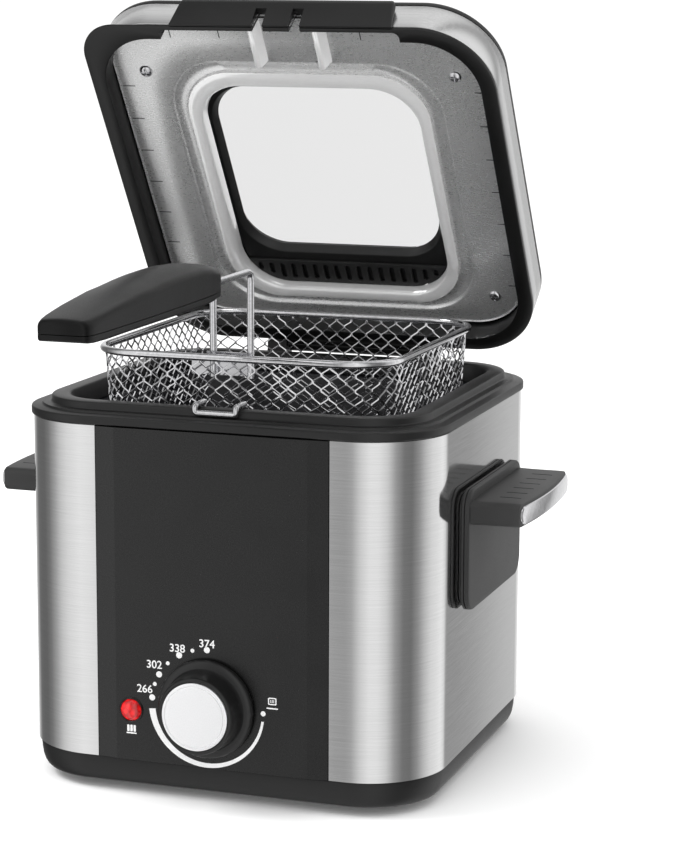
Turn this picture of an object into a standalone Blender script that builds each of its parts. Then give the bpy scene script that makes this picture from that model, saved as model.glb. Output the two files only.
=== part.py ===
"""Small deep fryer with hinged lid, lift basket and thermostat knob. Metres, +Z up."""
import math
import bpy
import bmesh
from mathutils import Matrix, Vector

MM = 0.001

# Driving dimensions, millimetres. The body is drawn about x = 0, y = 0 and then moved by FRAME_Y.
FRAME_Y = 64.73
BODY_HX, BODY_HY, BODY_R = 96.0, 92.6, 35.6
BODY_LOW, BODY_TOP = 16.0, 164.7
SKIN_WALL = 0.8
FIT = 0.3
PANEL_HX, PANEL_FLAT_HX, PANEL_Y, PANEL_EDGE_Y = 53.7, 44.5, -94.0, -92.9
BASE_LOW = 3.4
FOOT_X, FOOT_Y, FOOT_R = 78.0, 62.0, 6.0
RING_TOP, RING_HX, RING_HY = 173.5, 88.2, 84.8
POT_HX, POT_HY, POT_FLOOR = 77.8, 76.2, 52.0
DIAL_X, DIAL_Z = -1.5, 43.3
KNOB_R, KNOB_FRONT_Y = 17.2, -109.0
LAMP_X, LAMP_Z, LAMP_R = -37.4, 39.0, 4.9
HANDLE_HY, HANDLE_LOW, HANDLE_TOP = 43.5, 79.5, 137.5
SHELF_LOW, SHELF_TOP, SHELF_X, SHELF_BULGE = 121.4, 132.0, 123.4, 3.2
HINGE_Y, HINGE_Z, PIN_R, PIN_FIT = 99.5, 175.0, 1.6, 0.08
LID_OPEN = math.radians(56.0)
LID_HX, LID_HY, LID_R, LID_Y, LID_LOW = 97.4, 94.2, 34.0, -0.8, 171.0
BAND_TOP, BAND_WALL = 189.0, 0.8
WINDOW_HX, WINDOW_HY, WINDOW_Y = 51.2, 49.6, 2.4
LINER_Z, WINDOW_Z = 184.0, 195.2
SLOT_NEAR, SLOT_FAR, NOTCH_TOP = 6.2, 11.4, 181.0
BASKET_HX, BASKET_HY, BASKET_X, BASKET_Y, BASKET_RIM_Z, BASKET_DEPTH = 69.0, 72.2, 3.0, 0.0, 194.0, 62.0
WIRE_R, WIRE_X, WIRE_Y, WIRE_TOP = 1.6, 8.7, -66.5, 231.5
GRIP_NEAR_Y, GRIP_FAR_Y = -108.6, -240.0

OPEN = Matrix.Rotation(-LID_OPEN, 4, "X")


def clear():
    for item in list(bpy.data.objects):
        bpy.data.objects.remove(item)


def place(name, bm, lid=False):
    bmesh.ops.remove_doubles(bm, verts=bm.verts, dist=1e-4)
    bmesh.ops.recalc_face_normals(bm, faces=bm.faces)
    if lid:
        hinge = Vector((0, HINGE_Y, HINGE_Z))
        bm.transform(Matrix.Translation(hinge) @ OPEN @ Matrix.Translation(-hinge))
    bm.transform(Matrix.Scale(MM, 4) @ Matrix.Translation((0, FRAME_Y, 0)))
    mesh = bpy.data.meshes.new(name)
    bm.to_mesh(mesh)
    bm.free()
    item = bpy.data.objects.new(name, mesh)
    bpy.context.scene.collection.objects.link(item)
    return item


def rounded(hx, hy, r, seg=5):
    pts = []
    for k, (sx, sy) in enumerate(((1, 1), (-1, 1), (-1, -1), (1, -1))):
        for s in range(seg + 1):
            t = math.radians(90 * (k + s / seg))
            pts.append((sx * (hx - r) + r * math.cos(t), sy * (hy - r) + r * math.sin(t)))
    return pts


def ring_at(hx, hy, r, z, cx=0.0, cy=0.0, seg=5):
    return [Vector((cx + x, cy + y, z)) for x, y in rounded(hx, hy, r, seg)]


def loft(loops, closed=False):
    bm = bmesh.new()
    rows = [[bm.verts.new(p) for p in loop] for loop in loops]
    count = len(rows[0])
    pairs = list(zip(rows, rows[1:])) + ([(rows[-1], rows[0])] if closed else [])
    for a, b in pairs:
        for i in range(count):
            j = (i + 1) % count
            bm.faces.new((a[i], a[j], b[j], b[i]))
    if not closed:
        bm.faces.new(list(reversed(rows[0])))
        bm.faces.new(rows[-1])
    return bm


def sheet(rows, gauge, seg=6):
    """A pressed sheet: rows are (half x, half y, corner radius, z, centre y), thickened upwards."""
    spans = [Vector((b[0] - a[0], b[3] - a[3])).normalized() for a, b in zip(rows, rows[1:])]
    normals = [Vector((d.y, -d.x)) for d in spans]
    upper = []
    for i, (hx, hy, r, z, cy) in enumerate(rows):
        one, two = normals[max(i - 1, 0)], normals[min(i, len(normals) - 1)]
        mid = (one + two).normalized()
        step = mid * (gauge / max(mid.dot(one), 0.5))
        upper.append((hx + step.x, hy + step.x, max(r + step.x, 1), z + step.y, cy))
    return loft([ring_at(hx, hy, r, z, 0, cy, seg) for hx, hy, r, z, cy in list(rows) + upper[::-1]], closed=True)


def prism(points, low, high, axis="Z"):
    spots = {
        "Z": lambda a, b, c: Vector((a, b, c)),
        "X": lambda a, b, c: Vector((c, a, b)),
        "Y": lambda a, b, c: Vector((a, c, b)),
    }[axis]
    return loft([[spots(a, b, low) for a, b in points], [spots(a, b, high) for a, b in points]])


def box(x0, x1, y0, y1, z0, z1):
    return prism([(x0, y0), (x1, y0), (x1, y1), (x0, y1)], z0, z1)


def disc(cx, cz, r, seg=32):
    step = 2 * math.pi / seg
    return [(cx + r * math.cos(i * step), cz + r * math.sin(i * step)) for i in range(seg)]


def turned(profile, cx, cz, seg=32):
    """A solid of revolution about a line along Y: profile is (y, r) pairs."""
    return loft([[Vector((cx + x, y, cz + z)) for x, z in disc(0, 0, r, seg)] for y, r in profile])


def bend(path, radius, steps=4):
    """Rounds the corners of a polyline."""
    out = [Vector(path[0])]
    for a, b, c in zip(path, path[1:], path[2:]):
        a, b, c = Vector(a), Vector(b), Vector(c)
        into, away = (a - b).normalized(), (c - b).normalized()
        cut = radius / math.tan(into.angle(away) / 2)
        p, q = b + into * cut, b + away * cut
        for s in range(steps + 1):
            t = s / steps
            out.append((1 - t) ** 2 * p + 2 * t * (1 - t) * b + t * t * q)
    out.append(Vector(path[-1]))
    return out


def tube(path, r, seg=10, closed=False):
    path = [Vector(p) for p in path]
    count = len(path)
    rows, side = [], None
    for i, p in enumerate(path):
        if closed:
            ahead = (path[(i + 1) % count] - path[i - 1]).normalized()
        else:
            ahead = (path[min(i + 1, count - 1)] - path[max(i - 1, 0)]).normalized()
        if side is None:
            side = ahead.orthogonal().normalized()
            if closed:
                side = Vector((0, 0, 1))
        side = (side - ahead * side.dot(ahead)).normalized()
        up = ahead.cross(side)
        rows.append([p + r * (math.cos(a) * side + math.sin(a) * up) for a in (2 * math.pi * k / seg for k in range(seg))])
    return loft(rows, closed)


def solid(item, tools, operation):
    """Joins or cuts the item with tools, and leaves a plain mesh."""
    for bm in tools:
        tool = place("tool", bm)
        mod = item.modifiers.new("shape", "BOOLEAN")
        mod.operation, mod.solver, mod.object = operation, "EXACT", tool
        graph = bpy.context.evaluated_depsgraph_get()
        mesh = bpy.data.meshes.new_from_object(item.evaluated_get(graph))
        item.modifiers.clear()
        item.data = mesh
        bpy.data.objects.remove(tool)
    return item


def rest(item):
    """Swings a finished lid piece from shut to its resting open position."""
    hinge = Vector((0, HINGE_Y + FRAME_Y, HINGE_Z)) * MM
    item.data.transform(Matrix.Translation(hinge) @ OPEN @ Matrix.Translation(-hinge))


def base():
    hx, hy, r = BODY_HX, BODY_HY, BODY_R
    loops = [ring_at(hx - d, hy - d, r - d, z) for d, z in
             ((5.4, BASE_LOW), (3.2, 4.6), (1.8, 8.0), (1.0, BODY_LOW - FIT),
              (4.0, BODY_LOW - FIT), (4.4, 7.0), (6.2, 5.8))]
    place("base_tray", loft(loops))
    place("bottom_cover", prism(rounded(62, 68, 10, 3), 1.9, BASE_LOW - FIT))
    for tag_y, sy in (("front", -1), ("rear", 1)):
        for tag_x, sx in (("left", -1), ("right", 1)):
            cx, cy = sx * FOOT_X, sy * FOOT_Y
            loops = [[Vector((cx + x, cy + y, z)) for x, y in disc(0, 0, r, 16)]
                     for r, z in ((FOOT_R - 0.8, 0.0), (FOOT_R, 0.8), (FOOT_R, BASE_LOW - FIT))]
            place("foot_" + tag_y + "_" + tag_x, loft(loops))


def skin():
    outer = rounded(BODY_HX, BODY_HY, BODY_R, 8)
    inner = rounded(BODY_HX - SKIN_WALL, BODY_HY - SKIN_WALL, BODY_R - SKIN_WALL, 8)
    edge = PANEL_HX + FIT
    # the wrap runs round the back from one side of the front opening to the other
    def part_of(pts, hy):
        start = [(edge, -hy)]
        return start + pts[27:36] + pts[0:27] + [(-edge, -hy)]
    out, inn = part_of(outer, BODY_HY), part_of(inner, BODY_HY - SKIN_WALL)
    bm = bmesh.new()
    rows = [[bm.verts.new((x, y, z)) for x, y in line] for z in (BODY_LOW, BODY_TOP) for line in (out, inn)]
    lo, li, to, ti = rows
    for i in range(len(out) - 1):
        bm.faces.new((lo[i], lo[i + 1], to[i + 1], to[i]))
        bm.faces.new((li[i + 1], li[i], ti[i], ti[i + 1]))
        bm.faces.new((to[i], to[i + 1], ti[i + 1], ti[i]))
        bm.faces.new((lo[i + 1], lo[i], li[i], li[i + 1]))
    bm.faces.new((lo[0], to[0], ti[0], li[0]))
    bm.faces.new((lo[-1], li[-1], ti[-1], to[-1]))
    place("outer_skin", bm)


def panel():
    back = -BODY_HY + 1.6
    pts = [(-PANEL_HX, PANEL_EDGE_Y), (-PANEL_FLAT_HX, PANEL_Y), (PANEL_FLAT_HX, PANEL_Y),
           (PANEL_HX, PANEL_EDGE_Y), (PANEL_HX, back), (-PANEL_HX, back)]
    item = place("control_panel", prism(pts, BODY_LOW, BODY_TOP))
    solid(item, [turned([(-100, 4.0), (-80, 4.0)], DIAL_X, DIAL_Z, 24),
                 turned([(-100, LAMP_R + 0.2), (-80, LAMP_R + 0.2)], LAMP_X, LAMP_Z, 24)], "DIFFERENCE")
    place("indicator_lens", turned([(back, LAMP_R), (PANEL_Y, LAMP_R), (PANEL_Y - 1.2, LAMP_R - 0.4),
                                    (PANEL_Y - 2.3, LAMP_R - 1.6), (PANEL_Y - 2.8, 1.2)], LAMP_X, LAMP_Z, 24))
    place("lamp_holder", turned([(back + FIT, 6.2), (back + 12, 6.2)], LAMP_X, LAMP_Z, 16))


def collar():
    hx, hy, r = BODY_HX, BODY_HY, BODY_R
    ring = BODY_HX - RING_HX
    wall = 8.4
    steps = ((-0.4, BODY_TOP + FIT), (-1.0, 165.9), (-1.0, 168.2), (-0.3, 168.9), (3.4, 169.1), (3.9, 170.2),
             (ring - 0.6, 170.2), (ring - 0.1, 170.8), (ring, 172.7), (ring + 0.8, RING_TOP),
             (ring + wall - 1.4, RING_TOP), (ring + wall, 172.5), (ring + wall + 0.2, BODY_TOP + FIT))
    loops = [ring_at(hx - d, hy - d, r - d * 0.9, z, seg=6) for d, z in steps]
    place("collar", loft(loops, closed=True))


def pot():
    def step(d, z, flange=0.0):
        return ring_at(POT_HX - d + flange, POT_HY - d + flange, 27 - d * 0.6 + flange, z)
    loops = [step(12, POT_FLOOR), step(5, 54.2), step(1.6, 60), step(0.6, 72), step(0, 162.6), step(0, 162.8, 6.0),
             step(0, 164.4, 6.0), step(1.2, 164.4), step(1.2, 163), step(1.8, 73), step(2.9, 61.2), step(6, 55.8), step(13, 53.4)]
    place("inner_pot", loft(loops))
    low = POT_FLOOR - 4.2
    path = bend([(-10, -62, low - 16), (-10, -62, low), (-48, -52, low), (-48, 48, low), (48, 48, low),
                 (48, -52, low), (10, -62, low), (10, -62, low - 16)], 9)
    place("heating_element", tube(path, 3.2, 8))
    loops = [ring_at(62, 66, 18, 29.0, seg=3), ring_at(62, 66, 18, 24.0, seg=3),
             ring_at(61.2, 65.2, 17.2, 24.0, seg=3), ring_at(61.2, 65.2, 17.2, 28.2, seg=3)]
    place("heat_shield", loft(loops))
    place("thermostat", turned([(-90.6, 13), (-88.5, 14), (-78, 14), (-77, 13)], DIAL_X, DIAL_Z, 20))
    place("thermal_cutout", box(26, 38, -62, -44, 30.4, 38.0))
    place("terminal_block", box(-44, -20, 66, 82, 8.0, 22.0))
    place("cord_gland", turned([(BODY_HY + FIT, 7.5), (BODY_HY + 3.5, 7.5), (BODY_HY + 4, 5.6), (BODY_HY + 14, 4.4)], -34, 30, 16))


def knob():
    front = KNOB_FRONT_Y
    place("knob_body", turned([(PANEL_Y - FIT, 21.4), (PANEL_Y - 2.2, 22.0), (PANEL_Y - 3.6, 21.0), (PANEL_Y - 4.2, 18.2),
                               (front + 1.0, KNOB_R), (front, KNOB_R - 0.8), (front, 15.2), (front + 0.9, 15.0)], DIAL_X, DIAL_Z, 32))
    place("knob_cap", turned([(front + 0.6, 14.7), (front - 0.2, 14.7), (front - 0.7, 13.8)], DIAL_X, DIAL_Z, 32))
    place("thermostat_shaft", turned([(-76.5 - 14.4, 3.0), (PANEL_Y - 0.1, 3.0)], DIAL_X, DIAL_Z, 16))


def handles():
    for tag, side in (("left", -1), ("right", 1)):
        def flip(bm):
            if side < 0:
                bmesh.ops.scale(bm, vec=(-1, 1, 1), verts=bm.verts)
                bmesh.ops.reverse_faces(bm, faces=bm.faces)
            return bm
        mid = (HANDLE_LOW + HANDLE_TOP) / 2
        half = (HANDLE_TOP - HANDLE_LOW) / 2
        x0 = BODY_HX + FIT
        def plate(d, x):
            return [Vector((x, y, mid + z)) for y, z in rounded(HANDLE_HY - d, half - d, 9 - d, 4)]
        item = place("handle_" + tag, flip(loft([plate(1.2, x0), plate(0, x0 + 1.4), plate(0, x0 + 4.2), plate(1.0, x0 + 5.2)])))
        def edge(extra, steps=10):
            return [(SHELF_X + extra + SHELF_BULGE * (1 - (y / HANDLE_HY) ** 2), y)
                    for y in (HANDLE_HY * (2 * k / steps - 1) for k in range(steps + 1))]
        h = HANDLE_HY - 1.5
        rim = [(min(x, SHELF_X + 10), y * h / HANDLE_HY) for x, y in edge(-0.3)]
        shelf = [(x0 + 4.4, -h)] + rim + [(x0 + 4.4, h)]
        solid(item, [flip(prism(shelf, SHELF_LOW, SHELF_TOP))], "UNION")
        inner = [(x, y * 0.93) for x, y in edge(0.0)]
        outer = [(x + 1.1, y * 0.93) for x, y in edge(0.0)]
        place("handle_trim_" + tag, flip(prism(inner + outer[::-1], SHELF_LOW + 1.2, SHELF_TOP - 1.2)))


def hinge():
    item = place("hinge_bracket", box(-34, 34, 94.0, 97.0, 146, 166))
    tools = []
    for side in (-1, 1):
        a, b = sorted((side * 34.1, side * 44))
        tools.append(box(a - (0.6 if side > 0 else 0), b + (0.6 if side < 0 else 0), 94.0, 97.0, 146, 168))
        ear = [(94.0, 150), (99, 156), (103.2, 164)] + [(HINGE_Y + 4.0 * math.cos(t), HINGE_Z + 4.0 * math.sin(t))
               for t in (math.radians(d) for d in range(0, 181, 30))] + [(94.0, 168)]
        tools.append(prism(ear, a, b, "X"))
    solid(item, tools, "UNION")
    solid(item, [prism(disc(HINGE_Y, HINGE_Z, PIN_R + PIN_FIT, 16), -60, 60, "X")], "DIFFERENCE")
    place("hinge_pin", prism(disc(HINGE_Y, HINGE_Z, PIN_R, 16), -45, 45, "X"))


def lid():
    def ring(d, z, seg=6):
        return ring_at(LID_HX - d, LID_HY - d, LID_R - d * 0.9, z, 0, LID_Y, seg)

    def pan(hx, hy, r, z, cy=LID_Y):
        return ring_at(hx, hy, r, z, 0, cy, 6)

    low = LID_LOW
    def passage():
        return [box(-SLOT_FAR, -SLOT_NEAR, -110, -80.2, 160, NOTCH_TOP), box(SLOT_NEAR, SLOT_FAR, -110, -80.2, 160, NOTCH_TOP)]
    def lip(d, z, tight=None, seg=6):
        pts = []
        for k, (sx, sy) in enumerate(((1, 1), (-1, 1), (-1, -1), (1, -1))):
            r = tight if tight and k == 2 else LID_R - d * 0.9
            for i in range(seg + 1):
                t = math.radians(90 * (k + i / seg))
                pts.append(Vector((sx * (LID_HX - d - r) + r * math.cos(t), LID_Y + sy * (LID_HY - d - r) + r * math.sin(t), z)))
        return pts
    corner = 13.0
    frame = place("lid_frame", loft([lip(1.1, low + 1.6), lip(1.1, 184.6), lip(4.6, 184.6), lip(6.8, 183.0), lip(7.4, low + 0.6), lip(6.8, low), lip(0.5, low, corner),
                                     lip(0.1, low + 0.4, corner), lip(0.1, low + 1.3, corner), lip(0.5, low + 1.6, corner)], closed=True))
    solid(frame, passage() + [box(-SLOT_FAR, SLOT_FAR, -89.2, -80.2, 160, NOTCH_TOP)], "DIFFERENCE")
    rest(frame)
    band = place("lid_band", loft([ring(0.2, low + 1.9), ring(0, low + 2.2), ring(0, BAND_TOP - 0.4), ring(0.3, BAND_TOP), ring(BAND_WALL, BAND_TOP),
                                   ring(BAND_WALL, low + 1.9)], closed=True))
    solid(band, passage(), "DIFFERENCE")
    rest(band)
    wx, wy, wc = WINDOW_HX + 5.9, WINDOW_HY + 5.9, WINDOW_Y
    cover = place("lid_cover", loft([ring(0.1, BAND_TOP + FIT), ring(0.05, 190.6), ring(0.3, 191.8), ring(1.2, 193.1), ring(3.4, 194.4), ring(12, 196.6), pan(wx + 6, wy + 6, 31, 198.0, wc), pan(wx, wy, 25, 198.2, wc),
                                     pan(wx, wy, 25, 196.4, wc), pan(wx + 6, wy + 6, 31, 196.2, wc), ring(13, 194.8), ring(6.2, 192.6), ring(2.0, BAND_TOP + FIT)], closed=True))
    solid(cover, [box(x - 1.4, x + 1.4, 66.0, 76.0, 190, 205) for x in range(-36, 37, 12)], "DIFFERENCE")
    rest(cover)
    gauge = 0.6
    ring_y, ring_hy, hole_y, hole_hy = 6.5, 73.0, 9.75, 61.35
    shape = [(89.4, 86.2, 27.0, 181.6, LID_Y), (88.4, 85.2, 26.4, LINER_Z, LID_Y), (67.0, ring_hy + 0.6, 29.0, LINER_Z, ring_y),
             (66.2, ring_hy - 0.2, 28.2, LINER_Z - 1.0, ring_y), (59.4, ring_hy - 6.4, 25.4, LINER_Z - 1.0, ring_y), (58.6, hole_hy + 5.6, 25.0, 188.2, hole_y - 0.8), (53.2, hole_hy, 22.4, 189.8, hole_y)]
    liner = place("lid_liner", sheet(shape, gauge))
    solid(liner, [box(-SLOT_FAR, SLOT_FAR, -100, -80.2, 160, 183.2)], "DIFFERENCE")
    rest(liner)
    place("window_glass", prism([(x, wc + y) for x, y in rounded(WINDOW_HX, WINDOW_HY, 21, 6)], WINDOW_Z, WINDOW_Z + 2.6), lid=True)
    gx, gy = WINDOW_HX, WINDOW_HY
    place("window_frame", loft([pan(gx + 5.4, gy + 5.4, 25, 198.8, wc), pan(gx + 5.4, gy + 5.4, 25, 195.2, wc), pan(52.7, hole_hy - 0.5, 22, 195.0, hole_y), pan(52.7, hole_hy - 0.5, 22, 190.6, hole_y),
                                pan(gx + 0.8, gy + 0.8, 21.6, 190.8, wc), pan(gx - 1.4, gy - 1.4, 19.8, 194.8, wc), pan(gx + 0.4, gy + 0.4, 21.3, 194.9, wc), pan(gx + 0.4, gy + 0.4, 21.3, 198.8, wc)], closed=True), lid=True)
    plate = [(-50.6, 56.8), (50.6, 56.8), (47.6, 62.0), (43.3, 66.0), (38.0, 68.9), (32, 70.0), (-32, 70.0), (-38.0, 68.9), (-43.3, 66.0), (-47.6, 62.0)]
    grille = place("vent_grille", prism(plate, 189.1, 190.3))
    slots = []
    for k in range(17):
        x = (k - 8) * 5.65
        reach = 68.0 if abs(x) < 34 else 68.0 - (abs(x) - 34) * 0.42
        slots.append(box(x - 1.2, x + 1.2, 58.8, reach, 184, 192))
    solid(grille, slots, "DIFFERENCE")
    rest(grille)
    front = -LID_HY + LID_Y
    def bar(hx, cut, ahead, z):
        return [Vector((x, y, z)) for x, y in ((-hx, front - 0.4), (hx, front - 0.4), (hx - cut, front - ahead), (-hx + cut, front - ahead))]
    grip = place("lid_grip", loft([bar(50.4, 2.0, 1.6, low + 2.0), bar(49.0, 4.0, 4.3, 184.4), bar(48.6, 4.0, 4.3, 186.4), bar(48.0, 3.8, 3.5, 187.4)]))
    solid(grip, passage(), "DIFFERENCE")
    rest(grip)
    knuckle = place("lid_knuckle", box(-33.2, 33.2, 93.8, HINGE_Y, 172.6, 177.4))
    solid(knuckle, [prism(disc(HINGE_Y, HINGE_Z, 3.4, 20), -33.2, 33.2, "X")], "UNION")
    solid(knuckle, [prism(disc(HINGE_Y, HINGE_Z, PIN_R + PIN_FIT, 16), -60, 60, "X")], "DIFFERENCE")
    rest(knuckle)
    for tag, sx, y in (("front_left", -1, -60.7), ("front_right", 1, -60.7), ("rear_left", -1, 69.0), ("rear_right", 1, 69.0)):
        x = sx * 75.0
        loops = [[Vector((x + a, y + b, z)) for a, b in disc(0, 0, r, 12)]
                 for r, z in ((2.2, LINER_Z - 1.8), (3.2, LINER_Z - 1.2), (3.2, LINER_Z - FIT))]
        place("lid_screw_" + tag, loft(loops), lid=True)


def basket():
    def ring(d, z):
        return ring_at(BASKET_HX - d, BASKET_HY - d, 22 - d, z, BASKET_X, BASKET_Y, 5)
    rim = BASKET_RIM_Z
    low = rim - BASKET_DEPTH
    place("basket_tub", loft([ring(10, low), ring(5.6, low + 2.6), ring(4.2, low + 8), ring(0.6, rim - 2.1), ring(1.9, rim - 2.1),
                              ring(5.5, low + 8.6), ring(6.8, low + 3.6), ring(11, low + 1.3)]))
    place("basket_rim", tube(ring(0, rim), 1.7, 8, closed=True))
    place("basket_bracket", box(-16, 16, WIRE_Y + WIRE_R + 0.3, WIRE_Y + WIRE_R + 1.3, rim - 9, rim + 1.0))
    for tag, side in (("left", -1), ("right", 1)):
        x = side * WIRE_X
        path = bend([(x, WIRE_Y, rim - 9), (x, WIRE_Y, WIRE_TOP), (x, GRIP_NEAR_Y + 0.3, WIRE_TOP)], 4)
        place("handle_wire_" + tag, tube(path, WIRE_R, 10))
    # grip sections from the wires out: y, half width, seam, top, top edge, bottom
    rows = ((GRIP_NEAR_Y, 11.5, 228.6, 238.6, 236.4, 227.0), (-111.5, 12.6, 228.2, 240.4, 237.6, 226.0),
            (-130, 13.0, 227.8, 241.8, 239.4, 224.6), (-155, 13.2, 227.6, 241.4, 239.0, 224.4),
            (-180, 13.2, 227.4, 239.8, 237.6, 224.4), (-205, 12.8, 227.2, 237.6, 235.6, 224.2),
            (-225, 12.2, 227.0, 235.2, 233.5, 223.8), (-235, 11.4, 226.9, 233.8, 232.2, 223.8),
            (GRIP_FAR_Y, 8.4, 226.8, 232.6, 231.4, 224.6))
    upper, lower = [], []
    for y, h, seam, top, edge, bottom in rows:
        s = seam + 0.15
        upper.append([Vector(p) for p in ((-h, y, s), (-h, y, edge - 1.6), (-h * 0.86, y, edge), (-h * 0.45, y, top - 0.5), (0, y, top),
                                          (h * 0.45, y, top - 0.5), (h * 0.86, y, edge), (h, y, edge - 1.6), (h, y, s))])
        s = seam - 0.15
        lower.append([Vector(p) for p in ((h, y, s), (h, y, bottom + 0.9), (h * 0.86, y, bottom), (-h * 0.86, y, bottom), (-h, y, bottom + 0.9), (-h, y, s))])
    place("grip_upper", loft(upper))
    place("grip_lower", loft(lower))


def hook():
    z = RING_TOP + 1.4 + FIT
    out = -RING_HY - 1.4 - FIT
    low = 170.2 + 1.4 + FIT
    path = bend([(-9.4, -76.2, z), (-9.4, out, z), (-9.4, out, low), (9.4, out, low), (9.4, out, z), (9.4, -76.2, z)], 1.5, 3)
    place("drain_hook", tube(path, 1.4, 8))


clear()
base()
skin()
panel()
collar()
pot()
knob()
handles()
hinge()
lid()
basket()
hook()
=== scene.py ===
import math
import random
import bpy
import bmesh
from mathutils import Matrix, Vector


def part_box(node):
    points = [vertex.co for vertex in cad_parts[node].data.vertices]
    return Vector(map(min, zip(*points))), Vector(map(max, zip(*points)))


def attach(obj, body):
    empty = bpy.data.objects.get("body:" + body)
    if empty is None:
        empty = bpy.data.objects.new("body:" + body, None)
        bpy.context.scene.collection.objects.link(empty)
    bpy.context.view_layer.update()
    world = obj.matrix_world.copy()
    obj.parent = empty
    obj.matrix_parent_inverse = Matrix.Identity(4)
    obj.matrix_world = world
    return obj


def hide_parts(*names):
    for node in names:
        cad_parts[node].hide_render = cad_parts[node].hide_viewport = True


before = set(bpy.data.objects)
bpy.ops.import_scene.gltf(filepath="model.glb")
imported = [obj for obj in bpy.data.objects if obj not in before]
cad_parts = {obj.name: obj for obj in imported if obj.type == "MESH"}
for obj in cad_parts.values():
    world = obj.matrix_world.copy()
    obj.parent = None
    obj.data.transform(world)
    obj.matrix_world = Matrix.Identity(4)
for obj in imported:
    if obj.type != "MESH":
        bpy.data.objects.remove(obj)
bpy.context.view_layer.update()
mm = 0.001

# Everything below is drawn in millimetres about the middle of the steel wrap,
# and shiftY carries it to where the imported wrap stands.
wrapLow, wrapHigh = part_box("outer_skin")
shiftY = 1000 * (wrapLow[1] + wrapHigh[1]) / 2
lidAngle = math.radians(56)
hingeAt = Vector((0, 99.5, 175))
lidTurn = Matrix.Translation(hingeAt) @ Matrix.Rotation(-lidAngle, 4, "X") @ Matrix.Translation(-hingeAt)
outOfFront = Matrix.Rotation(math.radians(90), 4, "X")  # a flat drawing in X and Y stands up facing the front


def toLinear(code):
    values = [int(code[i:i + 2], 16) / 255 for i in (1, 3, 5)]
    return tuple(v / 12.92 if v <= 0.04045 else ((v + 0.055) / 1.055) ** 2.4 for v in values) + (1.0,)


def addNode(tree, kind, settings=None, links=None):
    node = tree.nodes.new(kind)
    for key, value in (settings or {}).items():
        if isinstance(key, int) or key in node.inputs:
            node.inputs[key].default_value = value
        else:
            setattr(node, key, value)
    for key, source in (links or {}).items():
        tree.links.new(source, node.inputs[key])
    return node


def startFinish(name, settings):
    finish = bpy.data.materials.new(name)
    finish.use_nodes = True
    tree = finish.node_tree
    tree.nodes.clear()
    shader = addNode(tree, "ShaderNodeBsdfPrincipled", settings)
    addNode(tree, "ShaderNodeOutputMaterial", links={"Surface": shader.outputs[0]})
    return finish, tree, shader


def addTones(tree, source, one, two, low, high, target):
    # colours the surface from one tone to another as source goes from low to high
    ramp = addNode(tree, "ShaderNodeValToRGB", links={"Fac": source})
    for stop, spot, tone in zip(ramp.color_ramp.elements, (low, high), (one, two)):
        stop.position, stop.color = spot, toLinear(tone)
    tree.links.new(ramp.outputs[0], target)


def addRoughness(tree, shader, fine, rough, broad, sway):
    # roughness runs over the fine pattern, and a broad one sways it a little
    near = addNode(tree, "ShaderNodeMapRange", {"From Min": 0.25, "From Max": 0.75, "To Min": rough[0],
            "To Max": rough[1]}, {"Value": fine})
    far = addNode(tree, "ShaderNodeMapRange", {"From Min": 0.25, "From Max": 0.75, "To Min": -sway, "To Max": sway},
            {"Value": broad})
    both = addNode(tree, "ShaderNodeMath", {"operation": "ADD"}, {0: near.outputs[0], 1: far.outputs[0]})
    tree.links.new(both.outputs[0], shader.inputs["Roughness"])


def sized(tree, size, turn=(0, 0, 0)):
    # object coordinates measured in steps of size, given in millimetres
    spot = addNode(tree, "ShaderNodeTexCoord")
    return addNode(tree, "ShaderNodeMapping", {"vector_type": "TEXTURE", "Rotation": turn,
            "Scale": [s * mm for s in size]}, {"Vector": spot.outputs["Object"]}).outputs[0]


def brushedSteel(name, one, two, rough, size, turn=(0, 0, 0), depth=0.006, metal=1.0):
    # size is a brush line's length along each axis and its width, in millimetres
    finish, tree, shader = startFinish(name, {"Metallic": metal})
    lines = addNode(tree, "ShaderNodeTexNoise", {"Scale": 1.0, "Detail": 3.0, "Roughness": 0.6},
            {"Vector": sized(tree, size, turn)}).outputs["Fac"]
    cloud = addNode(tree, "ShaderNodeTexNoise", {"Scale": 1.0, "Detail": 2.0},
            {"Vector": sized(tree, (34, 34, 34), turn)}).outputs["Fac"]
    addTones(tree, lines, one, two, 0.3, 0.7, shader.inputs["Base Color"])
    addRoughness(tree, shader, lines, rough, cloud, 0.015)
    bump = addNode(tree, "ShaderNodeBump", {"Strength": 0.5, "Distance": depth * mm}, {"Height": lines})
    tree.links.new(bump.outputs[0], shader.inputs["Normal"])
    return finish


def mouldedPlastic(name, one, two, rough, grain=0.5, depth=0.02, level=0.5, turn=(0, 0, 0)):
    # grain is the mould's spark texture, in millimetres; handling wears it in broad patches
    finish, tree, shader = startFinish(name, {"IOR": 1.53, "Specular IOR Level": level})
    grains = addNode(tree, "ShaderNodeTexNoise", {"Scale": 1.0, "Detail": 2.0},
            {"Vector": sized(tree, (grain, grain, grain), turn)}).outputs["Fac"]
    wear = addNode(tree, "ShaderNodeTexNoise", {"Scale": 1.0, "Detail": 3.0},
            {"Vector": sized(tree, (26, 26, 26), turn)}).outputs["Fac"]
    addTones(tree, wear, one, two, 0.3, 0.7, shader.inputs["Base Color"])
    addRoughness(tree, shader, grains, rough, wear, 0.03)
    bump = addNode(tree, "ShaderNodeBump", {"Strength": 0.4, "Distance": depth * mm}, {"Height": grains})
    tree.links.new(bump.outputs[0], shader.inputs["Normal"])
    return finish


lidTilt = (-lidAngle, 0, 0)
# 430 stainless, brushed round the body: long level hairlines, clean soft reflections
wrapSteel = brushedSteel("brushed stainless wrap", "#dedede", "#e9e9e9", (0.07, 0.13), (22, 22, 0.26), depth=0.003)
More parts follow.
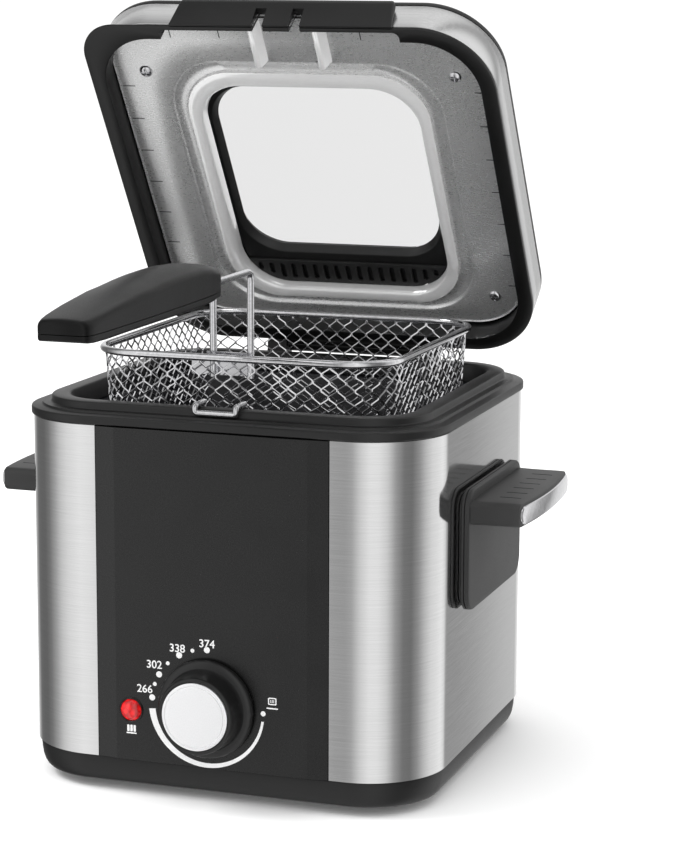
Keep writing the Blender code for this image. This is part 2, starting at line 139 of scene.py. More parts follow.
# the same sheet pressed for the side of the lid
bandSteel = brushedSteel("brushed stainless lid side", "#d6d6d6", "#e6e6e6", (0.16, 0.26), (45, 0.4, 0.4), lidTilt)
# pressed stainless with a fine satin blast inside the lid
linerSteel = brushedSteel("satin stainless lid lining", "#e4e4e4", "#f4f4f4", (0.24, 0.34), (2.4, 0.5, 0.5), lidTilt,
        depth=0.003, metal=0.78)
# bright nickel-chrome plate: mirror, faint unevenness from the wire below
chromeWire = brushedSteel("chromed wire", "#d4d4d6", "#ececee", (0.06, 0.14), (1.6, 1.6, 1.6), depth=0.02)
# the same plate on flat moulded strips, smoother and brighter
brightTrim = brushedSteel("polished chrome trim", "#dcdcde", "#ededef", (0.05, 0.12), (12, 2.4, 2.4), depth=0.003)
# spun aluminium, anodised clear: a bright disc with a soft sheen
capMetal = brushedSteel("satin anodised cap", "#f0f0f1", "#fafafb", (0.30, 0.40), (0.5, 9, 0.5), depth=0.003,
        metal=0.6)
# the pressed step round the window, with a painted highlight: a paler colour and less metal make it brighter than the
# sheet about it, standing in for the bright band of reflection it catches; the lid ribs take it too
stepSteelPaintedBright = brushedSteel("stainless step painted bright", "#f4f4f4", "#fbfbfb", (0.12, 0.18), (2.4, 0.5, 0.5), lidTilt,
        depth=0.006, metal=0.4)
# polyamide that stands the steam, greyer and flatter than the hoop round it
ventPlastic = mouldedPlastic("grey-black vent moulding", "#1e1e1e", "#262626", (0.34, 0.44), turn=lidTilt)
# zinc-plated mild steel for the works inside, dull and cloudy
plainSteel = brushedSteel("plain zinc-plated steel", "#8f9092", "#a7a8aa", (0.30, 0.44), (3, 3, 3), depth=0.01)
# black polypropylene moulded against a fine spark texture: a soft, even sheen
collarPlastic = mouldedPlastic("satin black polypropylene collar", "#0b0b0b", "#111111", (0.34, 0.46))
basePlastic = mouldedPlastic("satin black polypropylene base", "#0a0a0a", "#101010", (0.38, 0.50))
# polished ABS facia: smoother, so the room shows in it as a grey veil
panelPlastic = mouldedPlastic("smooth black panel moulding", "#0c0c0c", "#101010", (0.24, 0.30), grain=0.35,
        depth=0.008)
# phenolic handles, a shade greyer from the filler in the moulding
handlePlastic = mouldedPlastic("satin black handle moulding", "#242424", "#2c2c2c", (0.42, 0.54), grain=0.4)
# the basket grip has a rubbery paint, which takes most of the shine away
gripPlastic = mouldedPlastic("soft satin black grip moulding", "#080808", "#0d0d0d", (0.34, 0.44), grain=0.4,
        level=0.22)
# black polyamide round the lid, with the pattern turned as the lid stands
lidPlastic = mouldedPlastic("satin black lid moulding", "#0a0a0a", "#101010", (0.32, 0.44), turn=lidTilt)
# finer texture on the knob than on the casing
knobPlastic = mouldedPlastic("black knob moulding", "#101010", "#161616", (0.30, 0.40), grain=0.35, depth=0.01)
# steatite blocks in the works: chalky, off white
ceramicWhite = mouldedPlastic("white steatite block", "#d8d5cc", "#e6e3db", (0.5, 0.6))
# styrene-butadiene feet, dull and faintly dusty
footRubber = mouldedPlastic("black rubber feet", "#1a1a1a", "#242424", (0.7, 0.85), grain=0.7, depth=0.05)
# PTFE coat over pressed aluminium, dark with fine pale flecks
potCoat = mouldedPlastic("non-stick coating", "#17171a", "#2a2a2e", (0.36, 0.5), grain=0.8, depth=0.03)
# screen-printed ink, a touch uneven in thickness
whiteInk = mouldedPlastic("white screen print", "#e4e4e4", "#f4f4f4", (0.5, 0.62), grain=0.2, depth=0.004)


def redLens():
    # polycarbonate lens lit softly from inside, moulded with fine facets
    finish, tree, shader = startFinish("red polycarbonate lens", {"IOR": 1.58, "Roughness": 0.08, "Coat Weight": 0.6,
            "Coat Roughness": 0.04})
    facets = addNode(tree, "ShaderNodeTexVoronoi", {"Scale": 1.0},
            {"Vector": sized(tree, (2.4, 2.4, 2.4))}).outputs["Distance"]
    addTones(tree, facets, "#e0141c", "#a0060c", 0.1, 0.8, shader.inputs["Base Color"])
    addTones(tree, facets, "#ff2a22", "#7a0206", 0.1, 0.7, shader.inputs["Emission Color"])
    shader.inputs["Emission Strength"].default_value = 0.35
    bump = addNode(tree, "ShaderNodeBump", {"Strength": 0.5, "Distance": 0.15 * mm}, {"Height": facets})
    tree.links.new(bump.outputs[0], shader.inputs["Normal"])
    return finish


def windowGlass():
    # toughened soda-lime glass: flat, clean and clear, so a low index keeps its faint mirror from greying it
    return startFinish("toughened window glass", {"Base Color": toLinear("#ffffff"), "Transmission Weight": 1.0,
            "IOR": 1.1, "Roughness": 0.0})[0]


lensRed = redLens()
glassClear = windowGlass()
print("materials ready")


def addOutline(bm, hx, hy, r, z=0.0, cx=0.0, cy=0.0, seg=12, tight=None):
    # a rectangle with its corners rounded, left as a ring of edges
    before = set(bm.faces)
    corners = [bm.verts.new((cx + sx * hx, cy + sy * hy, z)) for sx, sy in ((-1, -1), (1, -1), (1, 1), (-1, 1))]
    bm.faces.new(corners)
    if tight:  # the front left corner may be sharper than the others
        bmesh.ops.bevel(bm, geom=corners[:1], offset=tight, offset_type="OFFSET", segments=seg, profile=0.5,
                affect="VERTICES", material=-1)
        corners = corners[1:]
    bmesh.ops.bevel(bm, geom=corners, offset=r, offset_type="OFFSET", segments=seg, profile=0.5, affect="VERTICES",
            material=-1)
    face = [f for f in bm.faces if f not in before][0]
    edges = list(face.edges)
    bmesh.ops.delete(bm, geom=[face], context="FACES_ONLY")
    return edges


def loftRings(rows, seg=12, around=False, capLow=False, capHigh=False):
    # rows are (half x, half y, corner radius, z) and may add the centre's x and y, and a tight corner
    bm = bmesh.new()
    rings = []
    for row in rows:
        hx, hy, r, z = row[:4]
        cx, cy = row[4:6] if len(row) > 4 else (0.0, 0.0)
        rings.append(addOutline(bm, hx, hy, r, z, cx, cy, seg, row[6] if len(row) > 6 else None))
    pairs = list(zip(rings, rings[1:])) + ([(rings[-1], rings[0])] if around else [])
    for a, b in pairs:
        bmesh.ops.bridge_loops(bm, edges=a + b)
    if capLow:
        bmesh.ops.contextual_create(bm, geom=rings[0])
    if capHigh:
        bmesh.ops.contextual_create(bm, geom=rings[-1])
    return bm


def turnProfile(profile, centre, axis=(0, 1, 0), side=(1, 0, 0), steps=72):
    # profile is (distance along the axis, radius)
    bm = bmesh.new()
    axis, side, centre = Vector(axis), Vector(side), Vector(centre)
    dots = [bm.verts.new(centre + axis * a + side * r) for a, r in profile]
    lines = [bm.edges.new(pair) for pair in zip(dots, dots[1:])]
    bmesh.ops.spin(bm, geom=dots + lines, cent=centre, axis=axis, angle=2 * math.pi, steps=steps, use_merge=True)
    return bm


def block(x0, x1, y0, y1, z0, z1):
    bm = bmesh.new()
    bmesh.ops.create_cube(bm, size=1.0)
    bmesh.ops.scale(bm, vec=(x1 - x0, y1 - y0, z1 - z0), verts=bm.verts)
    bmesh.ops.translate(bm, vec=((x0 + x1) / 2, (y0 + y1) / 2, (z0 + z1) / 2), verts=bm.verts)
    return bm


def pill(hx, hy, r, z0, z1, cx=0.0, cy=0.0, seg=6):
    return loftRings([(hx, hy, r, z0, cx, cy), (hx, hy, r, z1, cx, cy)], seg, capLow=True, capHigh=True)


def joined(*parts):
    whole = bmesh.new()
    for bm in parts:
        mesh = bpy.data.meshes.new("part")
        bm.to_mesh(mesh)
        bm.free()
        whole.from_mesh(mesh)
        bpy.data.meshes.remove(mesh)
    return whole


def softPath(points, radius, steps=6):
    # rounds the corners of a wire's path
    out = [Vector(points[0])]
    for a, b, c in zip(points, points[1:], points[2:]):
        a, b, c = Vector(a), Vector(b), Vector(c)
        into, away = (a - b).normalized(), (c - b).normalized()
        cut = radius / math.tan(into.angle(away) / 2)
        start, end = b + into * cut, b + away * cut
        for k in range(steps + 1):
            t = k / steps
            out.append((1 - t) ** 2 * start + 2 * t * (1 - t) * b + t * t * end)
    return out + [Vector(points[-1])]


def wires(paths, radius, sides=2, closed=False):
    curve = bpy.data.curves.new("wire", "CURVE")
    curve.dimensions, curve.bevel_depth, curve.bevel_resolution, curve.use_fill_caps = "3D", radius, sides, not closed
    for path in paths:
        line = curve.splines.new("POLY")
        line.points.add(len(path) - 1)
        for dot, at in zip(line.points, path):
            dot.co = (at[0], at[1], at[2], 1)
        line.use_cyclic_u = closed
    holder = bpy.data.objects.new("wire", curve)
    mesh = bpy.data.meshes.new_from_object(holder)
    bm = bmesh.new()
    bm.from_mesh(mesh)
    bpy.data.objects.remove(holder)
    bpy.data.curves.remove(curve)
    bpy.data.meshes.remove(mesh)
    return bm


def holder(bm, name="tool"):
    mesh = bpy.data.meshes.new(name)
    bm.to_mesh(mesh)
    bm.free()
    made = bpy.data.objects.new(name, mesh)
    bpy.context.scene.collection.objects.link(made)
    return made


def cutOut(bm, *tools):
    bmesh.ops.remove_doubles(bm, verts=bm.verts, dist=1e-4)
    bmesh.ops.recalc_face_normals(bm, faces=bm.faces)
    item = holder(bm)
    tool = holder(joined(*tools))
    cut = item.modifiers.new("cut", "BOOLEAN")
    cut.operation, cut.solver, cut.object, cut.use_self = "DIFFERENCE", "EXACT", tool, False
    mesh = bpy.data.meshes.new_from_object(item.evaluated_get(bpy.context.evaluated_depsgraph_get()))
    done = bmesh.new()
    done.from_mesh(mesh)
    bpy.data.objects.remove(item)
    bpy.data.objects.remove(tool)
    return done


def addPiece(name, bm, finish, body, stands=(), lid=False, sharp=32, edge=0.0, wall=0.0):
    bmesh.ops.remove_doubles(bm, verts=bm.verts, dist=1e-4)
    bmesh.ops.recalc_face_normals(bm, faces=bm.faces)
    if wall:  # a sheet gets its thickness here, so that its rim can be kept sharp
        item = holder(bm)
        skin = item.modifiers.new("wall", "SOLIDIFY")
        skin.thickness, skin.offset = wall, -1.0
        made = bpy.data.meshes.new_from_object(item.evaluated_get(bpy.context.evaluated_depsgraph_get()))
        bpy.data.objects.remove(item)
        bm = bmesh.new()
        bm.from_mesh(made)
        bpy.data.meshes.remove(made)
    if lid:
        bm.transform(lidTurn)
    bm.transform(Matrix.Scale(mm, 4) @ Matrix.Translation((0, shiftY, 0)))
    mesh = bpy.data.meshes.new(name)
    bm.to_mesh(mesh)
    bm.free()
    mesh.polygons.foreach_set("use_smooth", [True] * len(mesh.polygons))
    mesh.set_sharp_from_angle(angle=math.radians(sharp))
    mesh.materials.append(finish)
    piece = bpy.data.objects.new(name, mesh)
    bpy.context.scene.collection.objects.link(piece)
    if edge:
        soft = piece.modifiers.new("edges", "BEVEL")
        soft.width, soft.segments, soft.harden_normals = edge * mm, 3, True
        soft.limit_method, soft.angle_limit = "ANGLE", math.radians(25)
    if stands:
        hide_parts(*stands)
    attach(piece, body)
    return piece


def mirrored(bm):
    bmesh.ops.scale(bm, vec=(-1, 1, 1), verts=bm.verts)
    return bm


wrapSpec = {"halfX": 96.0, "halfY": 92.6, "radius": 35.6, "low": 16.0, "top": 164.7, "wall": 0.8, "opening": 54.0}


def makeWrap():
    s = wrapSpec
    bm = loftRings([(s["halfX"], s["halfY"], s["radius"], s["low"]), (s["halfX"], s["halfY"], s["radius"], s["top"])],
            32)
    for x in (-s["opening"], s["opening"]):
        bmesh.ops.bisect_plane(bm, geom=bm.verts[:] + bm.edges[:] + bm.faces[:], plane_co=(x, 0, 0),
                plane_no=(1, 0, 0))
    front = [f for f in bm.faces if abs(f.calc_center_median().x) < s["opening"] and f.calc_center_median().y < 0]
    bmesh.ops.delete(bm, geom=front, context="FACES")
    addPiece("body_wrap", bm, wrapSteel, "housing", ["outer_skin"], wall=s["wall"])


baseSpec = {"rows": ((5.4, 3.4), (4.2, 3.7), (3.2, 4.6), (2.3, 6.4), (1.8, 8.0), (1.3, 11.0), (1.0, 14.9),
        (1.3, 15.5), (2.2, 15.7)), "foot": (78, 62, 6.0)}


def makeBase():
    hx, hy, r = wrapSpec["halfX"], wrapSpec["halfY"], wrapSpec["radius"]
    rows = [(hx - d, hy - d, r - d, z) for d, z in baseSpec["rows"]]
    rows += [(hx - 4.0, hy - 4.0, r - 4.0, 15.7), (hx - 4.4, hy - 4.4, r - 4.4, 7.0),
            (hx - 6.2, hy - 6.2, r - 6.2, 5.8)]
    addPiece("base_moulding", loftRings(rows, 28, capLow=True, capHigh=True), basePlastic, "housing",
            ["base_tray"])
    fx, fy, fr = baseSpec["foot"]
    for tag, sx, sy in (("front_left", -1, -1), ("front_right", 1, -1), ("rear_left", -1, 1), ("rear_right", 1, 1)):
        profile = [(0, 0), (0, 3.2), (0.3, 4.0), (0, fr - 1.2), (0.25, fr - 0.5), (0.8, fr), (3.0, fr), (3.0, 0)]
        bm = turnProfile(profile, (sx * fx, sy * fy, 0), (0, 0, 1), (1, 0, 0), 36)
        addPiece("rubber_foot_" + tag, bm, footRubber, "housing", ["foot_" + tag])


panelSpec = {"halfX": 53.7, "flatX": 44.5, "front": -94.0, "edge": -92.9, "dial": (-1.5, 43.3), "lamp": (-37.4, 39.0)}


def makePanel():
    s = panelSpec
    bm = bmesh.new()
    spots = [(-s["halfX"], s["edge"] + 2), (-s["halfX"], s["edge"]), (-s["flatX"], s["front"]),
            (s["flatX"], s["front"]), (s["halfX"], s["edge"]), (s["halfX"], s["edge"] + 2)]
    face = bm.faces.new([bm.verts.new((x, y, wrapSpec["low"])) for x, y in spots])
    up = bmesh.ops.extrude_face_region(bm, geom=[face])
    bmesh.ops.translate(bm, vec=(0, 0, wrapSpec["top"] - wrapSpec["low"]),
            verts=[v for v in up["geom"] if isinstance(v, bmesh.types.BMVert)])
    addPiece("control_facia", bm, panelPlastic, "housing", ["control_panel"], sharp=2, edge=0.25)


def printed(name, bm):
    # ink stands 0.06 mm proud of the facia; the drawing is flat in X and Y
    bm.transform(Matrix.Translation((0, panelSpec["front"] + 0.005, 0)) @ outOfFront)
    addPiece(name, bm, whiteInk, "housing")


dialSpec = {"radius": 26.0, "bigDots": (175, 150, 120, 90), "smallDots": (161, 135, 105),
        "figures": (("266", -30.9, 49.0), ("302", -26.3, 60.4), ("338", -15.4, 68.7), ("374", -1.5, 71.9))}


def makeDial():
    s = dialSpec
    cx, cz = panelSpec["dial"]
    dots = []
    for angle, size in [(a, 1.4) for a in s["bigDots"]] + [(a, 0.9) for a in s["smallDots"]] + [(0, 1.15)]:
        t = math.radians(angle)
        bm = bmesh.new()
        bmesh.ops.create_cone(bm, cap_ends=True, segments=20, radius1=size, radius2=size, depth=0.12)
        bmesh.ops.translate(bm, vec=(cx + s["radius"] * math.cos(t), cz + s["radius"] * math.sin(t), 0),
                verts=bm.verts)
        dots.append(bm)
    printed("dial_dots", joined(*dots))
    # the heat arc thins from the low mark round to the off mark
    start, end = math.radians(186), math.radians(352)
    bm = bmesh.new()
    square = [bm.verts.new((cx + math.cos(start) * r, cz + math.sin(start) * r, z)) for r,
            z in ((1, -0.06), (2, -0.06), (2, 0.06), (1, 0.06))]
    first = bm.faces.new(square)
    bmesh.ops.spin(bm, geom=[first], cent=(cx, cz, 0), axis=(0, 0, 1), angle=end - start, steps=64)
    for v in bm.verts:
        flat = Vector((v.co.x - cx, v.co.y - cz))
        share = ((math.atan2(flat.y, flat.x) % (2 * math.pi)) - start) / (end - start)
        width = 3.0 - 1.9 * min(max(share, 0), 1)
        reach = s["radius"] + (width / 2 if flat.length > 1.5 else -width / 2)
        flat = flat.normalized() * reach
        v.co.x, v.co.y = cx + flat.x, cz + flat.y
    printed("dial_arc", bm)
    for figure, x, z in s["figures"]:
        text = bpy.data.curves.new("figure", "FONT")
        text.body, text.size, text.extrude, text.offset = figure, 5.0, 0.06, 0.05
        text.align_x, text.align_y = "CENTER", "CENTER"
        item = bpy.data.objects.new("figure", text)
        mesh = bpy.data.meshes.new_from_object(item)
        bm = bmesh.new()
        bm.from_mesh(mesh)
        bpy.data.objects.remove(item)
        bpy.data.meshes.remove(mesh)
        bmesh.ops.translate(bm, vec=(x, z, 0), verts=bm.verts)
        printed("dial_figure_" + figure, bm)
    # plain marks: a basket by the off dot and a two-bar lamp mark
    marks = [cutOut(pill(1.9, 1.6, 0.5, -0.06, 0.06, 28.7, 49.2), pill(1.45, 1.15, 0.3, -0.2, 0.2, 28.7, 49.2))]
    for dx in (-0.7, 0.0, 0.7):
        marks.append(pill(0.14, 0.7, 0.1, -0.06, 0.06, 28.7 + dx, 49.2))
    marks.append(pill(2.6, 0.28, 0.2, -0.06, 0.06, 28.7, 46.0))
    for dx in (-1.5, 0.0, 1.5):
        marks.append(pill(0.55, 1.5, 0.3, -0.06, 0.06, -37.4 + dx, 30.6))
    marks.append(pill(2.4, 0.28, 0.2, -0.06, 0.06, -37.4, 28.4))
    printed("panel_marks", joined(*marks))


knobSpec = {"front": -109.0, "radius": 17.2, "skirt": 22.0, "cap": 15.0}


def makeKnob():
    s = knobSpec
    cx, cz = panelSpec["dial"]
    f = s["front"]
    profile = [(-94.3, 0), (-94.3, 21.4), (-94.9, 21.9), (-96.0, s["skirt"]), (-96.9, 21.8), (-97.6, 21.0),
            (-97.9, 19.6), (-98.1, 18.6), (-98.9, 18.0), (-101.0, 17.7),
               (-105.5, 17.4), (f + 1.2, s["radius"]), (f + 0.4, 16.9), (f, 16.3), (f, 15.6), (f + 0.25, 15.3),
               (f + 0.9, 15.15), (f + 0.9, 0)]
    bm = turnProfile(profile, (cx, 0, cz), steps=96)
    slot = pill(4.4, 0.55, 0.5, -97.0, -99.5)
    slot.transform(Matrix.Translation((cx + 19.4, 0, cz)) @ Matrix(((1, 0, 0, 0), (0, 0, 1, 0), (0, 1, 0, 0),
            (0, 0, 0, 1))))
    addPiece("dial_knob", cutOut(bm, slot), knobPlastic, "knob", ["knob_body"], sharp=40)
    cap = [(f + 0.8, 0), (f + 0.8, s["cap"]), (f - 0.1, s["cap"]), (f - 0.3, 14.5), (f - 0.35, 14.0),
            (f - 0.15, 13.8), (f - 0.1, 13.5), (f - 0.45, 13.2), (f - 0.55, 9), (f - 0.6, 0)]
    addPiece("dial_knob_cap", turnProfile(cap, (cx, 0, cz), steps=96), capMetal, "knob", ["knob_cap"],
            sharp=25)


def makeLamp():
    x, z = panelSpec["lamp"]
    profile = [(-91.2, 0), (-91.2, 4.9), (-94.0, 4.9), (-94.6, 4.75), (-95.4, 4.2), (-96.1, 3.2), (-96.6, 1.9),
            (-96.8, 0)]
    addPiece("lamp_lens", turnProfile(profile, (x, 0, z), steps=48), lensRed, "housing",
            ["indicator_lens"], sharp=60)
    rim = [(-93.9, 4.95), (-94.5, 5.0), (-94.6, 5.35), (-94.3, 5.7), (-93.9, 5.75)]
    addPiece("lamp_rim", turnProfile(rim + rim[:1], (x, 0, z), steps=48), panelPlastic, "housing")


collarSpec = {"steps": ((-0.4, 165.0), (-0.9, 165.4), (-1.0, 165.9), (-1.0, 168.0), (-0.8, 168.6), (-0.3, 168.9),
        (3.2, 169.1), (3.6, 169.4), (3.9, 170.2), (6.9, 170.2), (7.5, 170.4), (7.7, 170.9),
                        (7.8, 172.6), (8.0, 173.1), (8.6, 173.5), (14.8, 173.5), (15.7, 173.2), (16.2, 172.5),
                        (16.4, 165.0))}


def makeCollar():
    hx, hy, r = wrapSpec["halfX"], wrapSpec["halfY"], wrapSpec["radius"]
    rows = [(hx - d, hy - d, r - d * 0.9, z) for d, z in collarSpec["steps"]]
    addPiece("top_collar", loftRings(rows, 28, around=True), collarPlastic, "housing", ["collar"],
            sharp=50)


potSpec = {"halfX": 77.8, "halfY": 76.2, "radius": 27.0, "floor": 52.0}


def makePot():
    hx, hy, r = potSpec["halfX"], potSpec["halfY"], potSpec["radius"]
    down = ((0, 162.6), (0.6, 72), (1.6, 60), (3.0, 56.2), (5, 54.2), (8, 52.6), (12, 52.0))
    up = ((13, 53.4), (9, 54.0), (6, 55.8), (3.9, 58.4), (2.9, 61.2), (1.8, 73), (1.2, 163.6), (0.9, 164.1),
            (0.2, 164.4))
    rows = [(hx + 6, hy + 6, r + 6, 164.4), (hx + 6, hy + 6, r + 6, 162.8)] + [(hx - d, hy - d, r - d * 0.6, z) for d,
            z in down]
    inner = [(hx - d, hy - d, r - d * 0.6, z) for d, z in up]
    low = loftRings(rows, 20, capHigh=True)
    addPiece("oil_pot", joined(low, loftRings(inner + [rows[0]], 20, capLow=True)), potCoat, "housing",
            ["inner_pot"], sharp=50)
    # the cord gland at the back
    y = wrapSpec["halfY"]
    gland = [(y + 0.3, 0), (y + 0.3, 7.4), (y + 2.9, 7.5), (y + 3.5, 7.2), (y + 3.9, 5.6), (y + 5.4, 5.4),
            (y + 5.6, 4.8), (y + 6.6, 4.8), (y + 6.8, 5.2), (y + 8.0, 5.1), (y + 8.2, 4.5),
             (y + 9.2, 4.5), (y + 9.4, 4.9), (y + 10.8, 4.8), (y + 11, 4.3), (y + 14, 4.2), (y + 14, 0)]
    addPiece("cord_sleeve", turnProfile(gland, (-34, 0, 30), steps=40), footRubber, "housing",
            ["cord_gland"], sharp=50)


handleSpec = {"halfY": 43.5, "middle": 109.2, "halfZ": 27.2, "shelfMiddle": 126.7, "shelfHalf": 5.3, "reach": 123.4,
        "bulge": 3.2}
sideways = Matrix(((0, 0, 1, 0), (1, 0, 0, 0), (0, 1, 0, 0), (0, 0, 0,
        1)))  # a ring in X and Y becomes one in Y and Z


def bulged(bm, start=108.0):
    s = handleSpec
    for v in bm.verts:
        share = min(max((v.co.x - start) / (s["reach"] - start), 0), 1)
        v.co.x += share * s["bulge"] * (1 - (v.co.y / s["halfY"]) ** 2)
    return bm


def makeHandles():
    s = handleSpec
    x0 = wrapSpec["halfX"] + 0.3
    hy, hz = s["halfY"], s["halfZ"]
    for tag, turn in (("right", lambda bm: bm), ("left", mirrored)):
        plate = loftRings([(hy - 2.4, hz - 2.4, 7.0, x0), (hy - 2.4, hz - 2.4, 7.0, x0 + 1.2),
                (hy - 0.5, hz - 0.5, 8.6, x0 + 1.25), (hy, hz, 9.0, x0 + 1.6), (hy, hz, 9.0, x0 + 2.6),
                           (hy - 0.7, hz - 0.7, 8.4, x0 + 2.75), (hy - 0.7, hz - 0.7, 8.4, x0 + 3.0),
                           (hy, hz, 9.0, x0 + 3.1), (hy - 0.1, hz - 0.1, 9.0, x0 + 4.5),
                           (hy - 0.5, hz - 0.5, 8.6, x0 + 5.0),
                           (hy - 1.2, hz - 1.2, 8.0, x0 + 5.2)], 10, capLow=True, capHigh=True)
        plate.transform(Matrix.Translation((0, 0, s["middle"])) @ sideways)
        mid, half = s["shelfMiddle"], s["shelfHalf"]
        rows = [(42.2, half, 2.0, x0 + 4.8), (42.0, half, 2.6, x0 + 7.0)]
        for x in (108.0, 112.0, 116.0, 120.0):
            rows.append((42.0, half, 3.2, x))
        rows += [(41.9, half, 3.4, 122.3), (41.6, half - 0.3, 3.4, 122.9), (41.0, half - 0.9, 3.2, 123.1)]
        shelf = loftRings(rows, 8, capLow=True, capHigh=True)
        wide = [e for e in shelf.edges if abs(e.verts[0].co.x - e.verts[1].co.x) > 30]
        bmesh.ops.subdivide_edges(shelf, edges=wide, cuts=14, use_grid_fill=False)
        shelf.transform(Matrix.Translation((0, 0, mid)) @ sideways)
        shelf = bulged(shelf)
        grooves = []
        for y in (-27.5, -16.5, -5.5, 5.5, 16.5, 27.5):
            grooves.append(pill(4.8, 0.45, 0.4, mid + half - 0.5, mid + half + 1, 115.5, y))
        bm = cutOut(shelf, *grooves)
        addPiece("carry_handle_" + tag, turn(joined(plate, bm)), handlePlastic, "housing",
                ["handle_" + tag], sharp=30)
        trim = loftRings([(40.4, 4.1, 4.0, 122.6), (40.4, 4.1, 4.0, 123.7), (40.1, 3.8, 3.7, 124.1),
                (39.6, 3.3, 3.2, 124.2)], 10, capLow=True, capHigh=True)
        bmesh.ops.subdivide_edges(trim, edges=[e for e in trim.edges if abs(e.verts[0].co.x - e.verts[1].co.x) > 30],
                cuts=18, use_grid_fill=False)
        trim.transform(Matrix.Translation((0, 0, mid)) @ sideways)
        addPiece("handle_bright_strip_" + tag, turn(bulged(trim)), brightTrim, "housing",
                ["handle_trim_" + tag], sharp=30)


lidSpec = {"halfX": 97.4, "halfY": 94.2, "radius": 34.0, "middle": -0.8, "low": 171.0, "bandTop": 189.0,
        "slotNear": 6.2, "slotFar": 11.4, "slotTop": 181.0, "corner": 18.0}
windowSpec = {"halfX": 51.2, "halfY": 49.6, "middle": 2.4, "radius": 21.0}


def lidRow(d, z, tight=None):
    s = lidSpec
    return (s["halfX"] - d, s["halfY"] - d, s["radius"] - 0.9 * d, z, 0, s["middle"], tight)


def paneRow(d, z, extra=0.0):
    s = windowSpec
    return (s["halfX"] + d, s["halfY"] + d, s["radius"] + 0.75 * d + extra, z, 0, s["middle"])


def passage():
    # two slots at the front for the basket's handle wires
    s = lidSpec
    return [block(a, b, -120, -80.2, 150, s["slotTop"]) for a, b in ((-s["slotFar"], -s["slotNear"]),
            (s["slotNear"], s["slotFar"]))]


def makeLid():
    s = lidSpec
    low, top, tight = s["low"], s["bandTop"], s["corner"]
    band = loftRings([lidRow(0.25, low + 1.9), lidRow(0, low + 2.1), lidRow(0, top - 0.4), lidRow(0.3, top),
            lidRow(0.9, top), lidRow(0.9, low + 1.9)], 28, around=True)
    addPiece("lid_steel_band", cutOut(band, *passage()), bandSteel, "lid", ["lid_band"], lid=True,
            sharp=40)
    rim = loftRings([lidRow(1.1, low + 1.9), lidRow(1.1, 184.6), lidRow(4.6, 184.6), lidRow(6.3, 183.8),
            lidRow(6.8, 183.0), lidRow(7.4, low + 0.8), lidRow(7.2, low + 0.2), lidRow(6.8, low),
                     lidRow(0.7, low, tight), lidRow(0.25, low + 0.15, tight), lidRow(0.1, low + 0.5, tight),
                     lidRow(0.1, low + 1.3, tight), lidRow(0.5, low + 1.6, tight)], 28, around=True)
    # behind the lift edge the frame thins to a narrow bar
    pocket = pill(57, 6.4, 3.0, 150, 183.6, 0, -86.6)
    addPiece("lid_inner_frame", cutOut(cutOut(rim, *passage()), pocket), lidPlastic, "lid",
            ["lid_frame"], lid=True, sharp=40)
    cover = [lidRow(0.1, 189.3), lidRow(0.05, 190.6), lidRow(0.3, 191.8), lidRow(1.2, 193.1), lidRow(3.4, 194.4),
            lidRow(8, 195.6), lidRow(12, 196.6), paneRow(16, 197.3), paneRow(11.9, 198.0), paneRow(6.4, 198.2),
            paneRow(5.9, 197.9),
             paneRow(5.9, 196.4), paneRow(11.9, 196.2), lidRow(13, 194.8), lidRow(6.2, 192.6), lidRow(2.0, 189.3)]
    slots = [pill(1.4, 5.0, 1.3, 190, 205, x, 71.0) for x in range(-36, 37, 12)]
    addPiece("lid_top_cover", cutOut(loftRings(cover, 24, around=True), *slots), lidPlastic, "lid",
            ["lid_cover"], lid=True, sharp=40)


linerSpec = {"flat": 184.0, "ringMiddle": 6.5, "ringHalfY": 73.0, "holeMiddle": 9.75, "holeHalfY": 61.35}


